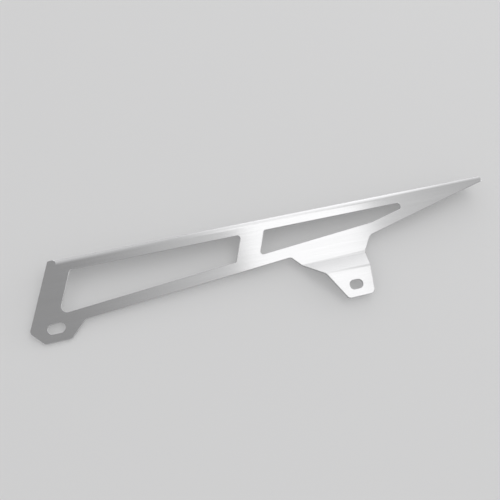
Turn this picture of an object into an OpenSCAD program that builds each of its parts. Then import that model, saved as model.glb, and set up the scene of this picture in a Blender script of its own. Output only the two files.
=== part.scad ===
// Motorcycle chain guard: one sheet, cut to outline and folded.
// X runs to the rear along the top fold, Z is up and the seen face looks to -Y.
// The origin is the middle of the front slot, on the face that seats on the swingarm.

/* [Sheet] */
// Thickness of the sheet
sheet_t = 2; // [1:0.1:3]
// Inside radius of the long fold under the top flange
fold_r = 3; // [1:0.5:4.5]
// Inside radius of the two folds of the rear tab's step
step_r = 3; // [1:0.5:5]

/* [Top flange] */
// Depth of the top flange, from the seen face to its free edge
flange_depth = 18; // [14:1:30]
// Length of the unfolded corner in front of the flange
flange_start = 5; // [4:0.5:12]
// Radius of the unfolded corner where it drops to the flange
flange_start_r = 2; // [0.5:0.5:2.5]
// How far the flange's free edge stops short of the nose
flange_cut_back = 12; // [6:1:30]
// Radius of the flange's front free corner
flange_front_r = 5; // [1:0.5:7]
// Radius of the flange's rear free corner
flange_rear_r = 8; // [1:0.5:12]

/* [Side web] */
// Length of the top fold, from the front corner to the end of the nose
top_len = 331.6; // [310:1:360]
// Lean of the front edge and of the posts from upright, in degrees
post_lean = 23.3; // [15:0.5:28]
// Width of the front post and of the middle post
post_w = 16; // [12:0.5:20]
// Depth of the rail above the windows, under the top of the guard
top_rail_w = 9.4; // [8:0.2:11]
// Width of the rails below the windows
low_rail_w = 8; // [6:0.5:10]
// Depth of the lower rail's edge under the front corner
front_depth = 46.2; // [43:0.5:50]
// Rise of the lower rail towards the rear, in degrees
rail_rise = 4.5; // [3.5:0.1:5.5]
// Rise of the tail's lower edge towards the nose, in degrees
tail_rise = 13.1; // [12:0.1:15]
// Height of the nose at its end
nose_h = 5.3; // [4.6:0.1:7]
// Length of the front window along its top edge, with the front post
front_window_reach = 134.6; // [110:1:150]
// Radius of the windows' small corners
window_r = 2; // [0.5:0.5:3]
// Radius of the front window's large corner, above the lug
window_large_r = 4; // [1:0.5:6]
// Radius of the rear window's pointed end
window_end_r = 2.5; // [1:0.5:3]
// Radius of the front top corner, the lug's root and the nose
corner_r = 2; // [0.5:0.5:2.5]

/* [Front lug] */
// Depth of the lug's lower edge under the top of the guard
lug_depth = 55.8; // [53:0.5:70]
// Depth at which the front edge turns into the lug's front bevel
lug_bevel_depth = 46.4; // [40:0.5:49]
// Angle of the lug's front bevel from level, in degrees
lug_bevel_angle = 48.4; // [40:1:60]
// Distance of the lug's rear lower corner behind the front corner
lug_heel = 6.2; // [4:0.5:14]
// Angle of the lug's rear edge from level, in degrees
lug_rear_angle = 44.3; // [35:1:60]
// Radius of the lug's three free corners
lug_corner_r = 3.5; // [1:0.5:5]

/* [Rear tab] */
// Distance of the tab's front root behind the front corner
tab_root = 166.4; // [150:1:180]
// Angle of the tab's front root from level, in degrees
tab_front_angle = 48.9; // [40:1:60]
// Angle of the tab's rear root from level, in degrees
tab_rear_angle = 56.1; // [50:1:70]
// Distance of the tab's rear root behind the front corner
tab_rear_root = 229.6; // [220:1:245]
// Depth of the upper fold of the step under the top of the guard
step_depth = 40.1; // [39:0.5:46]
// How far the tab steps out from the web
step_out = 10; // [4:0.5:16]
// Angle of the step's sloped face to the web, in degrees
step_angle = 41.5; // [30:0.5:60]
// Front edge of the tab at the lower fold, behind the front corner
tab_front = 185.5; // [176:0.5:192]
// Rear edge of the tab at the lower fold, behind the front corner
tab_rear = 219.4; // [212:0.5:226]
// Depth of the tab's lower edge under the top of the guard
tab_depth = 72.4; // [70:0.5:90]
// Front end of the tab's lower edge, behind the front corner
tab_toe = 197.1; // [188:0.5:200]
// Rear end of the tab's lower edge, behind the front corner
tab_heel = 217; // [211:0.5:226]
// Radius of the tab's two free corners
tab_corner_r = 3.5; // [1:0.5:5]
// Radius in the corner between the lower rail and the tab
tab_front_root_r = 3; // [1:0.5:4]
// Radius in the corner between the tail and the tab
tab_rear_root_r = 6; // [2:0.5:7]

/* [Slots] */
// Width of both slots, for an M6 bolt
slot_w = 6.6; // [5.5:0.1:7]
// Length of the front slot, end to end
front_slot_len = 11.4; // [8:0.1:14]
// Distance of the front slot ahead of the front corner
front_slot_ahead = 2.4; // [1:0.1:4]
// Depth of the front slot's middle under the top of the guard
front_slot_depth = 46.9; // [45:0.1:49]
// Length of the rear slot, end to end
rear_slot_len = 9.8; // [7:0.1:11]
// Distance of the rear slot behind the front corner
rear_slot_behind = 205.1; // [203:0.1:207]
// Height of the rear slot's middle above the tab's lower edge
rear_slot_up = 8.8; // [7:0.1:10]

/* [Hidden] */
$fn = 96;
// farther than any part of the guard lies from the top of its front corner, in depth and in thickness
through = 200;
// how far one stretch of the sheet runs into the next
lap = 1;
// how far an arc passes its two sides, so that it crosses them cleanly
hair = 0.002;
metal = [0.80, 0.80, 0.81];

// Geometry of the outline
fold_out_r = fold_r + sheet_t;
post_run = post_w / cos(post_lean);
low_rail_run = low_rail_w / cos(rail_rise);
tail_rail_run = low_rail_w / cos(tail_rise);
window_top = -top_rail_w;
nose_low = [top_len, -nose_h];
lug_heel_point = [lug_heel, -lug_depth];
lug_bevel_point = [front_edge(-lug_bevel_depth), -lug_bevel_depth];
lug_toe_point = [lug_bevel_point[0] + (lug_depth - lug_bevel_depth) / tan(lug_bevel_angle), -lug_depth];
lug_root_x = (lug_heel + (lug_depth - front_depth) / tan(lug_rear_angle))
    / (1 - tan(rail_rise) / tan(lug_rear_angle));

// Geometry of the tab, with the folds where the seen faces would meet if they were sharp
step_drop = step_out / tan(step_angle);
step_end = step_depth + step_drop;
fold_reach = (step_r + 2 * sheet_t) * tan(step_angle / 2);
web_end = -(step_depth - fold_reach - lap);
tab_slot = [rear_slot_behind, rear_slot_up - tab_depth];

// Front edge of the guard at height z
function front_edge(z) = z * tan(post_lean);
// Lower edge of the lower rail at x
function rail_edge(x) = x * tan(rail_rise) - front_depth;
// Lower edge of the tail at x
function tail_edge(x) = nose_low[1] - (top_len - x) * tan(tail_rise);
// Where a line that leans like the posts, through x at the top, meets the window's lower edge
function post_foot(x) = (x - (front_depth - low_rail_run) * tan(post_lean))
    / (1 - tan(rail_rise) * tan(post_lean));
// Front and rear edges of the tab's root at height z
function root_front(z) = tab_root + (rail_edge(tab_root) - z) / tan(tab_front_angle);
function root_rear(z) = tab_rear_root - (tail_edge(tab_rear_root) - z) / tan(tab_rear_angle);
function unit(v) = v / norm(v);
function turn(a, b) = a[0] * b[1] - a[1] * b[0];

// A flat shape through corners [x, y, radius], listed anticlockwise, each rounded by a true arc
module rounded(corners) {
    last = len(corners) - 1;
    at = [for (c = corners) [c[0], c[1]]];
    back = [for (i = [0:last]) unit(at[i == 0 ? last : i - 1] - at[i])];
    ahead = [for (i = [0:last]) unit(at[i == last ? 0 : i + 1] - at[i])];
    half = [for (i = [0:last]) acos(back[i] * ahead[i]) / 2];
    reach = [for (i = [0:last]) corners[i][2] / tan(half[i])];
    middle = [for (i = [0:last]) at[i] + unit(back[i] + ahead[i]) * corners[i][2] / sin(half[i])];
    outer = [for (i = [0:last]) turn(ahead[i], back[i]) > 0];
    bevelled = [for (i = [0:last]) each corners[i][2] > 0
        ? [at[i] + back[i] * reach[i], at[i] + ahead[i] * reach[i]]
        : [at[i]]];
    module arc(i) {
        intersection() {
            translate(middle[i]) circle(r = corners[i][2] + hair);
            polygon([at[i], at[i] + back[i] * reach[i], middle[i], at[i] + ahead[i] * reach[i]]);
        }
    }
    difference() {
        union() {
            polygon(bevelled);
            for (i = [0:last]) if (outer[i] && corners[i][2] > 0) arc(i);
        }
        for (i = [0:last]) if (!outer[i] && corners[i][2] > 0) arc(i);
    }
}

// A slot with round ends, along the first axis
module slot(len, w) {
    travel = len - w;
    square([travel, w], center = true);
    for (end = [-1, 1]) translate([end * travel / 2, 0]) circle(d = w);
}

// Pushes a flat shape, drawn in X and Z, through the guard from front to back
module across() {
    translate([0, through / 2, 0]) rotate([90, 0, 0]) linear_extrude(through) children();
}

// Runs a section, drawn in Y and Z, along the guard from x = from to x = to
module along(from, to) {
    translate([from, 0, 0]) rotate([90, 0, 90]) linear_extrude(to - from) children();
}

// Outline of the guard as the seen side shows it: web, lug and tab in one
module outline() {
    rounded([
        [0, 0, corner_r],
        [lug_bevel_point[0], lug_bevel_point[1], lug_corner_r],
        [lug_toe_point[0], lug_toe_point[1], lug_corner_r],
        [lug_heel_point[0], lug_heel_point[1], lug_corner_r],
        [lug_root_x, rail_edge(lug_root_x), corner_r],
        [tab_root, rail_edge(tab_root), tab_front_root_r],
        [root_front(-step_depth), -step_depth, 0],
        [tab_front, -step_end, 0],
        [tab_toe, -tab_depth, tab_corner_r],
        [tab_heel, -tab_depth, tab_corner_r],
        [tab_rear, -step_end, 0],
        [root_rear(-step_depth), -step_depth, 0],
        [tab_rear_root, tail_edge(tab_rear_root), tab_rear_root_r],
        [nose_low[0], nose_low[1], corner_r],
        [top_len, 0, corner_r]
    ]);
}

// The window between the front post and the middle post
module front_window() {
    front_top = front_edge(window_top) + post_run;
    front_foot = post_foot(post_run);
    rear_foot = post_foot(front_window_reach - front_edge(window_top));
    rounded([
        [front_top, window_top, window_r],
        [front_foot, rail_edge(front_foot) + low_rail_run, window_large_r],
        [rear_foot, rail_edge(rear_foot) + low_rail_run, window_r],
        [front_window_reach, window_top, window_r]
    ]);
}

// The pointed window behind the middle post
module rear_window() {
    front_top = front_window_reach + post_run;
    front_foot = post_foot(front_top - front_edge(window_top));
    bend_x = (tail_edge(0) + tail_rail_run + front_depth - low_rail_run)
        / (tan(rail_rise) - tan(tail_rise));
    point_x = (window_top - tail_edge(0) - tail_rail_run) / tan(tail_rise);
    rounded([
        [front_top, window_top, window_r],
        [front_foot, rail_edge(front_foot) + low_rail_run, window_r],
        [bend_x, rail_edge(bend_x) + low_rail_run, window_r],
        [point_x, window_top, window_end_r]
    ]);
}

// Section of the web, the long fold and the flange
module flange_section() {
    rounded([
        [-sheet_t, 0, fold_out_r],
        [-sheet_t, -through, 0],
        [0, -through, 0],
        [0, -sheet_t, fold_r],
        [flange_depth - sheet_t, -sheet_t, 0],
        [flange_depth - sheet_t, 0, 0]
    ]);
}

// Section of the tab: the web, the step's two folds and the plate that takes the bolt
module tab_section() {
    fold_shift = sheet_t * tan(step_angle / 2);
    rounded([
        [0, 0, 0],
        [-sheet_t, 0, 0],
        [-sheet_t, -step_depth, step_r],
        [-sheet_t - step_out, -step_end, step_r + sheet_t],
        [-sheet_t - step_out, -through, 0],
        [-step_out, -through, 0],
        [-step_out, -step_end - fold_shift, step_r],
        [0, -step_depth - fold_shift, step_r + sheet_t]
    ]);
}

// The flange seen from above, with its free corners cut back
module flange_plan() {
    free_edge = flange_depth - sheet_t;
    rounded([
        [flange_start, -sheet_t - lap, 0],
        [top_len + lap, -sheet_t - lap, 0],
        [top_len + lap, fold_r, 0],
        [top_len, fold_r, 0],
        [top_len - flange_cut_back, free_edge, flange_rear_r],
        [flange_start, free_edge, flange_front_r]
    ]);
}

// The flat sheet of the unfolded corner and of the web below it
module flat_front() {
    intersection() {
        translate([-through, -sheet_t, -through]) cube([through + flange_start, sheet_t, through]);
        across() rounded([
            [-through, 0, 0],
            [-through, -through, 0],
            [flange_start, -through, 0],
            [flange_start, 0, flange_start_r]
        ]);
    }
}

// The sheet of the web and its folded flange, before the outline is cut
module web() {
    difference() {
        union() {
            flat_front();
            intersection() {
                along(flange_start, top_len) flange_section();
                union() {
                    translate([0, 0, -through]) linear_extrude(2 * through) flange_plan();
                    translate([0, -sheet_t, -through]) cube([top_len, sheet_t, through - fold_out_r]);
                }
            }
        }
        translate([tab_root, -sheet_t - lap, -through]) cube([top_len, sheet_t + 2 * lap, through + web_end]);
    }
}

// The sheet of the stepped rear tab, before the outline is cut
module tab() {
    intersection() {
        along(tab_root, top_len) tab_section();
        translate([0, -through, -through]) cube([top_len, 2 * through, through + web_end]);
    }
}

module chain_guard() {
    color(metal)
        translate([front_slot_ahead, 0, front_slot_depth])
            difference() {
                intersection() {
                    across() outline();
                    union() {
                        web();
                        tab();
                    }
                }
                across() {
                    front_window();
                    rear_window();
                    translate([-front_slot_ahead, -front_slot_depth]) slot(front_slot_len, slot_w);
                    translate(tab_slot) slot(rear_slot_len, slot_w);
                }
            }
}

chain_guard();
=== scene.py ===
"""A motorcycle chain guard of brushed sheet metal, leaning on a pale board in soft studio light."""

import math

import bmesh
import bpy
from mathutils import Matrix, Vector


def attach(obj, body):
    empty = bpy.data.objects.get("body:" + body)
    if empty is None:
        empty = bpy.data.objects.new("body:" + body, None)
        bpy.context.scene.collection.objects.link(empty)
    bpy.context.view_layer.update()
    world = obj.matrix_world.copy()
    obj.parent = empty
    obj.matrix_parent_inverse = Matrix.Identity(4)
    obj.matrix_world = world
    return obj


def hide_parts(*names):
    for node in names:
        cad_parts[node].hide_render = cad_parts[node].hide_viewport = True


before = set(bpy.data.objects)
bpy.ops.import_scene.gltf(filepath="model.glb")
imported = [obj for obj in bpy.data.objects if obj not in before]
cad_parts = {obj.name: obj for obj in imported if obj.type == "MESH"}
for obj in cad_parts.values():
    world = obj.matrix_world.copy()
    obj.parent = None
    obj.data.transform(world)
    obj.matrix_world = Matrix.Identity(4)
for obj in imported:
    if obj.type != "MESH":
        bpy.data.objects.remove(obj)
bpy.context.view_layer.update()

MM = 0.001
GUARD = "chain_guard"

# The sheet, as the CAD solid has it
SHEET_T = 2.0 * MM
FOLD_START_X = 7.4 * MM
FOLD_INNER_R = 3.0 * MM
FOLD_FOOT_Z = 41.8 * MM
# Beyond these the flange runs out at the nose
NOSE_TIGHT_X = 332.9 * MM
NOSE_TIGHT_Y = 1.9 * MM

# Cut edges are the faces that stand across the sheet. The first two limits are shares of its thickness:
# how much of it an edge of the face spans, and how far that edge's length may be off. The other two
# limit how far the face's normal leans towards y and z.
CROSSING_SHARE = 0.3
CUT_WIDTH_SLACK = 0.8
CUT_LEAN_Y = 0.2
CUT_LEAN_Z = 0.999

# Deburring of the cut edges
MERGE_GAP = 0.15 * MM
SLIVER = 0.01 * MM
FLAT_ANGLE = math.radians(0.5)
SHARP_ANGLE = math.radians(40)
KNIFE_ANGLE = math.radians(120)
DEBURR = 0.35 * MM
DEBURR_STEPS = 3

# Two spots on the seen side where the edge is worn rounder: the unfolded corner's top, the nose's end
WORN_SPOTS = (Vector((4.9, -2.0, 46.9)) * MM, Vector((334.0, -1.9, 43.2)) * MM)
WORN_NEAR = 1.6 * MM
WORN_FAR = 3.1 * MM
WORN_GAIN = 2.6
SEEN_SIDE = -0.1 * MM
# A point nearer than this to a sharp edge's line belongs to that edge's rounding
EDGE_REACH = 1.6 * DEBURR

# Finishes. Tones and roughness run between two values; streaks have a scale along and across the grain.
NOISE_ROUGHNESS = 0.62
NOISE_SPAN = (0.25, 0.75)
TONE_STREAKS = (9.0, 420.0)
ROUGHNESS_STREAKS = (25.0, 1500.0)
FACE_TONES = ((0.635, 0.635, 0.64), (0.67, 0.67, 0.675))
FACE_ROUGHNESS = (0.18, 0.23)
FACE_LINES = (18.0, 5200.0)
FACE_LINE_DEPTH = 0.001 * MM
FACE_ANISOTROPY = 0.95
CUT_TONES = ((0.58, 0.58, 0.585), (0.66, 0.66, 0.665))
CUT_ROUGHNESS = (0.34, 0.44)
CUT_LINES = (2600.0, 300.0)
CUT_LINE_DEPTH = 0.002 * MM

# Camera, as it stood for the photograph. Its focal length is a share of the sensor's width, in mm.
CAMERA_AT = Vector((34.0, -480.6, -73.3)) * MM
CAMERA_AZIMUTH = math.radians(12.585)
CAMERA_ELEVATION = math.radians(11.370)
CAMERA_ROLL = math.radians(14.327)
CAMERA_NEAR = 0.01
SENSOR = 36.0
FOCAL_SHARE = 1.4

# Board behind the guard: the lug's lower edge and the flange's free edge rest on it.
# It glows a little, so that it stays pale from every side.
LUG_REST = Vector((0.0, 0.0, -8.9)) * MM
FLANGE_REST = Vector((0.0, 16.0, 44.9)) * MM
BOARD_GAP = 0.3 * MM
BOARD_HALF = 3.0
BOARD_COLOUR = (0.86, 0.86, 0.86, 1)
BOARD_GLOW = 0.44
BOARD_LIFT = 0.35

# Room, in metres. Two grey cards show in the metal alone, behind the camera and behind the board.
ROOM = (0.64, 0.64, 0.645, 1)
CARD_RISE = (0.9, 2.4)
FRONT_CARD = Vector((0.7, -1.65, 0.8))
FRONT_CARD_SPAN = 3.4
FRONT_CARD_GREYS = (0.40, 0.56)
BACK_CARD = Vector((0.2, 2.0, -2.7))
BACK_CARD_SPAN = 7.0
BACK_CARD_GREYS = (0.42, 0.42)

# Planes that the lamps lie in, and how far a key lamp hangs in front of its fill
WALL_Y = -1.6
WALL_FOOT = -0.35
BACK_WALL_Y = 1.6
RIGHT_WALL_X = 2.2
CEILING_Z = 1.6
CEILING_BACK = 1.3
KEY_STEP = 0.05

# How the light of each lamp runs along an axis: places in metres, and the share of its full light there.
# They were set so that the metal mirrors the same greys as in the photograph.
WALL_FILL_RUN = {
    "X": (
        (-0.05, 0), (0.10, 0.18), (0.385, 0.64), (0.45, 0.58), (0.50, 0.95), (0.57, 0.86),
        (0.86, 0.97), (0.94, 0.80), (1.20, 0.52), (2.0, 0),
    ),
}
WALL_KEY_RUN = {
    "X": (
        (0.46, 0), (0.475, 1), (0.53, 1), (0.60, 0.9), (0.78, 0.9), (0.84, 1), (0.875, 1), (0.895, 0),
    ),
}
WALL_SIDE_RUN = {"X": ((-1.7, 0), (-1.5, 1), (-1.3, 1), (-1.1, 0))}
CEILING_FILL_RUN = {
    "X": ((-1.0, 0.6), (-0.16, 0.6), (-0.06, 0.25), (0.1, 0.25), (0.5, 0.35), (1.1, 0.5), (1.8, 0.4)),
    "Y": ((-1.6, 0.05), (-0.85, 0.15), (-0.34, 0.35), (0.11, 0.62), (0.60, 1), (1.3, 1)),
}
CEILING_KEY_RUN = {
    "X": ((0.30, 0), (0.43, 0.65), (0.55, 1), (0.90, 1), (1.02, 0.75), (1.16, 0.25), (1.28, 0)),
}
BACK_WALL_RUN = {"X": ((1.2, 0), (1.6, 0.14), (1.85, 0.14), (2.3, 0), (2.6, 0), (2.75, 1), (3.4, 1))}
RIGHT_WALL_RUN = {"Y": ((-1.0, 0), (-0.8, 1), (0.8, 1), (1.0, 0))}


def new_group(name, sockets):
    """An empty shader node group with the given sockets: name, "INPUT" or "OUTPUT", kind and value."""
    group = bpy.data.node_groups.new(name, "ShaderNodeTree")
    for socket_name, side, kind, value in sockets:
        socket = group.interface.new_socket(socket_name, in_out=side, socket_type=kind)
        if value is not None:
            socket.default_value = value
    return group


def add_node(tree, kind, place, **settings):
    """A node at a place in its tree, with its settings."""
    node = tree.nodes.new(kind)
    node.location = place
    for key, value in settings.items():
        setattr(node, key, value)
    return node


def streak_group():
    """Fine lines that a belt leaves: noise stretched along one direction, spread from low to high."""
    group = new_group("brushed_streaks", [
        ("Place", "INPUT", "NodeSocketVector", None),
        ("Along", "INPUT", "NodeSocketFloat", 30.0),
        ("Across", "INPUT", "NodeSocketFloat", 3000.0),
        ("Detail", "INPUT", "NodeSocketFloat", 3.0),
        ("Low", "INPUT", "NodeSocketFloat", 0.0),
        ("High", "INPUT", "NodeSocketFloat", 1.0),
        ("Streaks", "OUTPUT", "NodeSocketFloat", None),
    ])
    given = add_node(group, "NodeGroupInput", (-700, 0))
    made = add_node(group, "NodeGroupOutput", (500, 0))
    scale = add_node(group, "ShaderNodeCombineXYZ", (-500, -120))
    stretch = add_node(group, "ShaderNodeVectorMath", (-320, 0), operation="MULTIPLY")
    noise = add_node(group, "ShaderNodeTexNoise", (-120, 0))
    noise.inputs["Scale"].default_value = 1.0
    noise.inputs["Roughness"].default_value = NOISE_ROUGHNESS
    spread = add_node(group, "ShaderNodeMapRange", (240, 0))
    spread.inputs["From Min"].default_value, spread.inputs["From Max"].default_value = NOISE_SPAN
    link = group.links.new
    link(given.outputs["Along"], scale.inputs["X"])
    link(given.outputs["Across"], scale.inputs["Y"])
    link(given.outputs["Across"], scale.inputs["Z"])
    link(given.outputs["Place"], stretch.inputs[0])
    link(scale.outputs["Vector"], stretch.inputs[1])
    link(stretch.outputs["Vector"], noise.inputs["Vector"])
    link(given.outputs["Detail"], noise.inputs["Detail"])
    link(noise.outputs["Fac"], spread.inputs["Value"])
    link(given.outputs["Low"], spread.inputs["To Min"])
    link(given.outputs["High"], spread.inputs["To Max"])
    link(spread.outputs["Result"], made.inputs["Streaks"])
    return group


def lay_streaks(tree, streaks, place, at, scale, span=(0.0, 1.0)):
    """Streaks in a material, with a scale along and across the grain and a span of values."""
    node = add_node(tree, "ShaderNodeGroup", at, node_tree=streaks)
    node.inputs["Along"].default_value, node.inputs["Across"].default_value = scale
    node.inputs["Low"].default_value, node.inputs["High"].default_value = span
    tree.links.new(place.outputs["Object"], node.inputs["Place"])
    return node.outputs["Streaks"]


def brushed_metal(name, streaks, tones, roughness, lines, line_depth, anisotropy=0.0):
    """Bare sheet metal, brushed: tone, roughness and relief vary from streak to streak."""
    material = bpy.data.materials.new(name)
    material.use_nodes = True
    tree = material.node_tree
    link = tree.links.new
    shader = tree.nodes["Principled BSDF"]
    shader.inputs["Metallic"].default_value = 1.0
    shader.inputs["Anisotropic"].default_value = anisotropy
    place = add_node(tree, "ShaderNodeTexCoord", (-1100, 0))

    colour = add_node(tree, "ShaderNodeMix", (-450, 300), data_type="RGBA")
    colour.inputs[6].default_value = (*tones[0], 1)
    colour.inputs[7].default_value = (*tones[1], 1)
    link(lay_streaks(tree, streaks, place, (-800, 200), TONE_STREAKS), colour.inputs[0])
    link(colour.outputs[2], shader.inputs["Base Color"])

    rough = lay_streaks(tree, streaks, place, (-800, -80), ROUGHNESS_STREAKS, span=roughness)
    link(rough, shader.inputs["Roughness"])

    bump = add_node(tree, "ShaderNodeBump", (-350, -380))
    bump.inputs["Distance"].default_value = line_depth
    link(lay_streaks(tree, streaks, place, (-800, -380), lines), bump.inputs["Height"])
    link(bump.outputs["Normal"], shader.inputs["Normal"])

    if anisotropy:
        along = add_node(tree, "ShaderNodeTangent", (-350, -600), direction_type="UV_MAP")
        along.uv_map = "grain"
        link(along.outputs["Tangent"], shader.inputs["Tangent"])
    return material


def lay_grain(bm):
    """A UV map whose second axis runs along the guard, the way that the sheet was brushed."""
    layer = bm.loops.layers.uv.new("grain")
    for face in bm.faces:
        for loop in face.loops:
            at = loop.vert.co
            loop[layer].uv = (at.z + at.y, at.x)


def mark_cut_edges(bm):
    """Gives the narrow faces, where the sheet was cut, the second material."""
    for face in bm.faces:
        crossings = [
            edge.calc_length() for edge in face.edges
            if abs(edge.verts[0].co.y - edge.verts[1].co.y) > CROSSING_SHARE * SHEET_T
        ]
        upright = abs(face.normal.y) < CUT_LEAN_Y and abs(face.normal.z) < CUT_LEAN_Z
        narrow = any(abs(length - SHEET_T) < CUT_WIDTH_SLACK * SHEET_T for length in crossings)
        face.material_index = 1 if upright and narrow else 0


def in_tight_place(edge):
    """Whether an edge is too tight to deburr: inside the start of the fold, or at the nose's flange."""
    at_start = all(
        abs(vert.co.x - FOLD_START_X) < MERGE_GAP
        and vert.co.y < FOLD_INNER_R
        and vert.co.z > FOLD_FOOT_Z
        for vert in edge.verts
    )
    at_nose = all(vert.co.x > NOSE_TIGHT_X and vert.co.y > NOSE_TIGHT_Y for vert in edge.verts)
    return at_start or at_nose


def wear_share(place):
    """How far an edge is worn at a place, from 0 to 1."""
    gap = min((place - spot).length for spot in WORN_SPOTS)
    share = min(max((WORN_FAR - gap) / (WORN_FAR - WORN_NEAR), 0.0), 1.0)
    return share * share * (3 - 2 * share)


def worn_lines(edges):
    """The ends of the edges on the seen side that reach a worn spot."""
    lines = []
    for edge in edges:
        ends = [vert.co.copy() for vert in edge.verts]
        seen = min(end.y for end in ends) < SEEN_SIDE
        if seen and any(wear_share(end) > 0 for end in ends):
            lines.append(ends)
    return lines


def nearest_on(line, place):
    """The point of a straight line between two ends that is nearest to a place."""
    start, end = line
    span = end - start
    share = (place - start).dot(span) / span.length_squared
    return start + span * min(max(share, 0.0), 1.0)


def wear_edges(bm, lines):
    """Widens the deburring at the worn spots: its points move away from the line of the sharp edge."""
    for vert in bm.verts:
        place = vert.co.copy()
        near = min(
            (nearest_on(line, place) for line in lines),
            key=lambda point: (place - point).length,
        )
        away = place - near
        if away.length < EDGE_REACH:
            vert.co = near + away * (1 + (WORN_GAIN - 1) * wear_share(near))


def dressed_guard(materials):
    """The folded sheet with its edges deburred, in place of the CAD node."""
    bm = bmesh.new()
    bm.from_mesh(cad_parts[GUARD].data)
    bmesh.ops.remove_doubles(bm, verts=bm.verts, dist=MERGE_GAP)
    bmesh.ops.dissolve_limit(bm, angle_limit=FLAT_ANGLE, verts=bm.verts, edges=bm.edges)
    bm.normal_update()
    sharp = [
        edge for edge in bm.edges
        if len(edge.link_faces) == 2
        and SHARP_ANGLE < edge.calc_face_angle() < KNIFE_ANGLE
        and not in_tight_place(edge)
    ]
    mark_cut_edges(bm)
    worn = worn_lines(sharp)
    bmesh.ops.bevel(
        bm, geom=sharp, offset=DEBURR, offset_type="OFFSET", affect="EDGES", segments=DEBURR_STEPS,
        profile=0.5, material=-1, loop_slide=False, clamp_overlap=False,
    )
    wear_edges(bm, worn)
    bmesh.ops.dissolve_degenerate(bm, dist=SLIVER, edges=bm.edges)
    lay_grain(bm)
    for face in bm.faces:
        face.smooth = True
    mesh = bpy.data.meshes.new("folded_sheet")
    bm.to_mesh(mesh)
    bm.free()
    mesh.set_sharp_from_angle(angle=SHARP_ANGLE)
    for material in materials:
        mesh.materials.append(material)
    piece = bpy.data.objects.new("folded_sheet", mesh)
    bpy.context.scene.collection.objects.link(piece)
    even = piece.modifiers.new("even_normals", "WEIGHTED_NORMAL")
    even.keep_sharp = True
    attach(piece, "root")
    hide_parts(GUARD)


def flat_square(name, half, place, material):
    """A flat square, made round its middle and moved to its place by a matrix."""
    bm = bmesh.new()
    bmesh.ops.create_grid(bm, x_segments=1, y_segments=1, size=half)
    bmesh.ops.transform(bm, matrix=place, verts=bm.verts)
    mesh = bpy.data.meshes.new(name)
    bm.to_mesh(mesh)
    bm.free()
    mesh.materials.append(material)
    square = bpy.data.objects.new(name, mesh)
    bpy.context.scene.collection.objects.link(square)
    return square


def board_material():
    """Pale matt board that shows from its front only."""
    material = bpy.data.materials.new("pale_board")
    material.use_nodes = True
    tree = material.node_tree
    tree.nodes.clear()
    link = tree.links.new
    output = add_node(tree, "ShaderNodeOutputMaterial", (600, 0))
    matt = add_node(tree, "ShaderNodeBsdfDiffuse", (-200, 100))
    matt.inputs["Color"].default_value = BOARD_COLOUR
    glow = add_node(tree, "ShaderNodeEmission", (-200, -80))
    glow.inputs["Strength"].default_value = BOARD_GLOW
    lift = add_node(tree, "ShaderNodeMixShader", (60, 60))
    lift.inputs["Fac"].default_value = BOARD_LIFT
    clear = add_node(tree, "ShaderNodeBsdfTransparent", (60, -140))
    side = add_node(tree, "ShaderNodeNewGeometry", (60, 320))
    choose = add_node(tree, "ShaderNodeMixShader", (340, 60))
    link(matt.outputs["BSDF"], lift.inputs[1])
    link(glow.outputs["Emission"], lift.inputs[2])
    link(side.outputs["Backfacing"], choose.inputs["Fac"])
    link(lift.outputs["Shader"], choose.inputs[1])
    link(clear.outputs["BSDF"], choose.inputs[2])
    link(choose.outputs["Shader"], output.inputs["Surface"])
    return material


def pale_board():
    """The board that the guard leans on. It takes the shadows and blocks no light."""
    rise = (FLANGE_REST - LUG_REST).normalized()
    lean = math.atan2(rise.z, rise.y)
    front = Vector((0, -rise.z, rise.y))
    middle = (FLANGE_REST + LUG_REST) / 2 - front * BOARD_GAP
    place = Matrix.Translation(middle) @ Matrix.Rotation(lean, 4, "X")
    board = flat_square("pale_board", BOARD_HALF, place, board_material())
    board.visible_shadow = False
    board.visible_diffuse = False
    board.visible_glossy = False


def card_material(name, greys):
    """A glow that rises from the first grey to the second over the height CARD_RISE."""
    material = bpy.data.materials.new(name)
    material.use_nodes = True
    tree = material.node_tree
    tree.nodes.clear()
    output = add_node(tree, "ShaderNodeOutputMaterial", (300, 0))
    glow = add_node(tree, "ShaderNodeEmission", (100, 0))
    place = add_node(tree, "ShaderNodeTexCoord", (-500, 0))
    split = add_node(tree, "ShaderNodeSeparateXYZ", (-300, 0))
    rise = add_node(tree, "ShaderNodeMapRange", (-100, 0), interpolation_type="SMOOTHSTEP")
    rise.inputs["From Min"].default_value, rise.inputs["From Max"].default_value = CARD_RISE
    rise.inputs["To Min"].default_value, rise.inputs["To Max"].default_value = greys
    tree.links.new(place.outputs["Object"], split.inputs["Vector"])
    tree.links.new(split.outputs["Z"], rise.inputs["Value"])
    tree.links.new(rise.outputs["Result"], glow.inputs["Strength"])
    tree.links.new(glow.outputs["Emission"], output.inputs["Surface"])
    return material


def grey_card(name, middle, span, greys):
    """An upright grey card that shows in the metal alone."""
    place = Matrix.Translation(middle) @ Matrix.Rotation(math.radians(90), 4, "X")
    card = flat_square(name, span / 2, place, card_material(name, greys))
    card.visible_camera = False
    card.visible_diffuse = False
    card.visible_shadow = False


def light_run(tree, position, axis, stops, row):
    """The share of a lamp's light along one axis, from places there and the share at each."""
    first, last = stops[0][0], stops[-1][0]
    way = add_node(tree, "ShaderNodeMapRange", (-740, -260 * row))
    way.inputs["From Min"].default_value = first
    way.inputs["From Max"].default_value = last
    ramp = add_node(tree, "ShaderNodeValToRGB", (-540, -260 * row))
    for _ in stops[2:]:
        ramp.color_ramp.elements.new(0.5)
    for element, (at, share) in zip(ramp.color_ramp.elements, stops):
        element.position = (at - first) / (last - first)
        element.color = (share, share, share, 1)
    tree.links.new(position.outputs[axis], way.inputs["Value"])
    tree.links.new(way.outputs["Result"], ramp.inputs["Fac"])
    return ramp.outputs["Color"]


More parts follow.
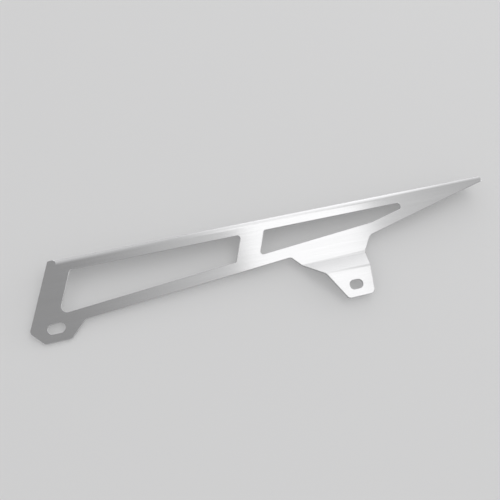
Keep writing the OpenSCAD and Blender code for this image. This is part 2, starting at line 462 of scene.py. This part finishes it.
def softbox(name, low, high, facing, radiance, runs):
    """A flat rectangular lamp between two corners, with the run of its light along one or two axes."""
    low, high = Vector(low), Vector(high)
    # One of the three sizes is nothing, along the axis that the lamp faces
    size = high - low
    lamp = bpy.data.lights.new(name, "AREA")
    lamp.shape = "RECTANGLE"
    lamp.size = size.x or size.y
    lamp.size_y = size.z or size.y
    lamp.energy = radiance * math.pi * lamp.size * lamp.size_y
    lamp.use_nodes = True
    tree = lamp.node_tree
    place = add_node(tree, "ShaderNodeNewGeometry", (-1100, 0))
    position = add_node(tree, "ShaderNodeSeparateXYZ", (-920, 0))
    tree.links.new(place.outputs["Position"], position.inputs["Vector"])
    light, *others = (
        light_run(tree, position, axis, stops, row) for row, (axis, stops) in enumerate(runs.items())
    )
    for share in others:
        both = add_node(tree, "ShaderNodeMath", (-240, 0), operation="MULTIPLY")
        tree.links.new(light, both.inputs[0])
        tree.links.new(share, both.inputs[1])
        light = both.outputs["Value"]
    tree.links.new(light, tree.nodes["Emission"].inputs["Strength"])
    box = bpy.data.objects.new(name, lamp)
    box.location = (low + high) / 2
    box.rotation_euler = (-Vector(facing)).to_track_quat("Z", "Y").to_euler()
    box.visible_camera = False
    bpy.context.scene.collection.objects.link(box)


def pale_room():
    """An even pale room all round."""
    world = bpy.data.worlds.new("pale_room")
    world.use_nodes = True
    world.node_tree.nodes["Background"].inputs["Color"].default_value = ROOM
    bpy.context.scene.world = world


def front_lamps():
    """The wall of light behind the camera, which the web mirrors, and one to its left that rims the lug."""
    key_y = WALL_Y + KEY_STEP
    softbox(
        "wall_fill", low=(-0.1, WALL_Y, WALL_FOOT), high=(2.1, WALL_Y, CEILING_Z),
        facing=(0, 1, 0), radiance=0.6, runs=WALL_FILL_RUN,
    )
    softbox(
        "wall_key", low=(0.46, key_y, WALL_FOOT), high=(0.92, key_y, CEILING_Z),
        facing=(0, 1, 0), radiance=0.7, runs=WALL_KEY_RUN,
    )
    softbox(
        "wall_side", low=(-1.7, WALL_Y, -1.5), high=(-1.1, WALL_Y, 0.9),
        facing=(0, 1, 0), radiance=0.9, runs=WALL_SIDE_RUN,
    )


def top_lamps():
    """The ceiling of light, which the long fold and the tab's slope mirror."""
    key_z = CEILING_Z - KEY_STEP
    softbox(
        "ceiling_fill", low=(-1.0, WALL_Y, CEILING_Z), high=(1.8, CEILING_BACK, CEILING_Z),
        facing=(0, 0, -1), radiance=1.2, runs=CEILING_FILL_RUN,
    )
    softbox(
        "ceiling_key", low=(0.30, WALL_Y, key_z), high=(1.28, CEILING_BACK, key_z),
        facing=(0, 0, -1), radiance=0.55, runs=CEILING_KEY_RUN,
    )


def far_lamps():
    """A lamp behind the guard, for the views from there, and one beyond the nose, which rims its end."""
    softbox(
        "back_wall", low=(1.2, BACK_WALL_Y, -1.4), high=(3.4, BACK_WALL_Y, 1.2),
        facing=(0, -1, 0), radiance=1.6, runs=BACK_WALL_RUN,
    )
    softbox(
        "right_wall", low=(RIGHT_WALL_X, -1.0, -0.4), high=(RIGHT_WALL_X, 1.0, 1.0),
        facing=(-1, 0, 0), radiance=1.3, runs=RIGHT_WALL_RUN,
    )


def photo_camera():
    """The camera of the photograph, worked out from the guard's parallel edges and slots."""
    camera = bpy.data.cameras.new("photo_camera")
    camera.sensor_width = SENSOR
    camera.lens = SENSOR * FOCAL_SHARE
    camera.clip_start = CAMERA_NEAR
    eye = bpy.data.objects.new("photo_camera", camera)
    flat = math.cos(CAMERA_ELEVATION)
    forward = Vector((
        math.sin(CAMERA_AZIMUTH) * flat,
        math.cos(CAMERA_AZIMUTH) * flat,
        math.sin(CAMERA_ELEVATION),
    ))
    level = Vector((math.cos(CAMERA_AZIMUTH), -math.sin(CAMERA_AZIMUTH), 0))
    upright = level.cross(forward)
    right = level * math.cos(CAMERA_ROLL) - upright * math.sin(CAMERA_ROLL)
    up = upright * math.cos(CAMERA_ROLL) + level * math.sin(CAMERA_ROLL)
    turn = Matrix((right, up, -forward)).transposed().to_4x4()
    eye.matrix_world = Matrix.Translation(CAMERA_AT) @ turn
    bpy.context.scene.collection.objects.link(eye)
    bpy.context.scene.camera = eye


streaks = streak_group()
sheet_face = brushed_metal(
    "brushed_face", streaks, FACE_TONES, FACE_ROUGHNESS, FACE_LINES, FACE_LINE_DEPTH, FACE_ANISOTROPY,
)
cut_edge = brushed_metal("cut_edge", streaks, CUT_TONES, CUT_ROUGHNESS, CUT_LINES, CUT_LINE_DEPTH)
dressed_guard([sheet_face, cut_edge])
pale_board()
pale_room()
grey_card("front_card", FRONT_CARD, FRONT_CARD_SPAN, FRONT_CARD_GREYS)
grey_card("back_card", BACK_CARD, BACK_CARD_SPAN, BACK_CARD_GREYS)
front_lamps()
top_lamps()
far_lamps()
photo_camera()
bpy.context.scene.view_settings.view_transform = "Standard"
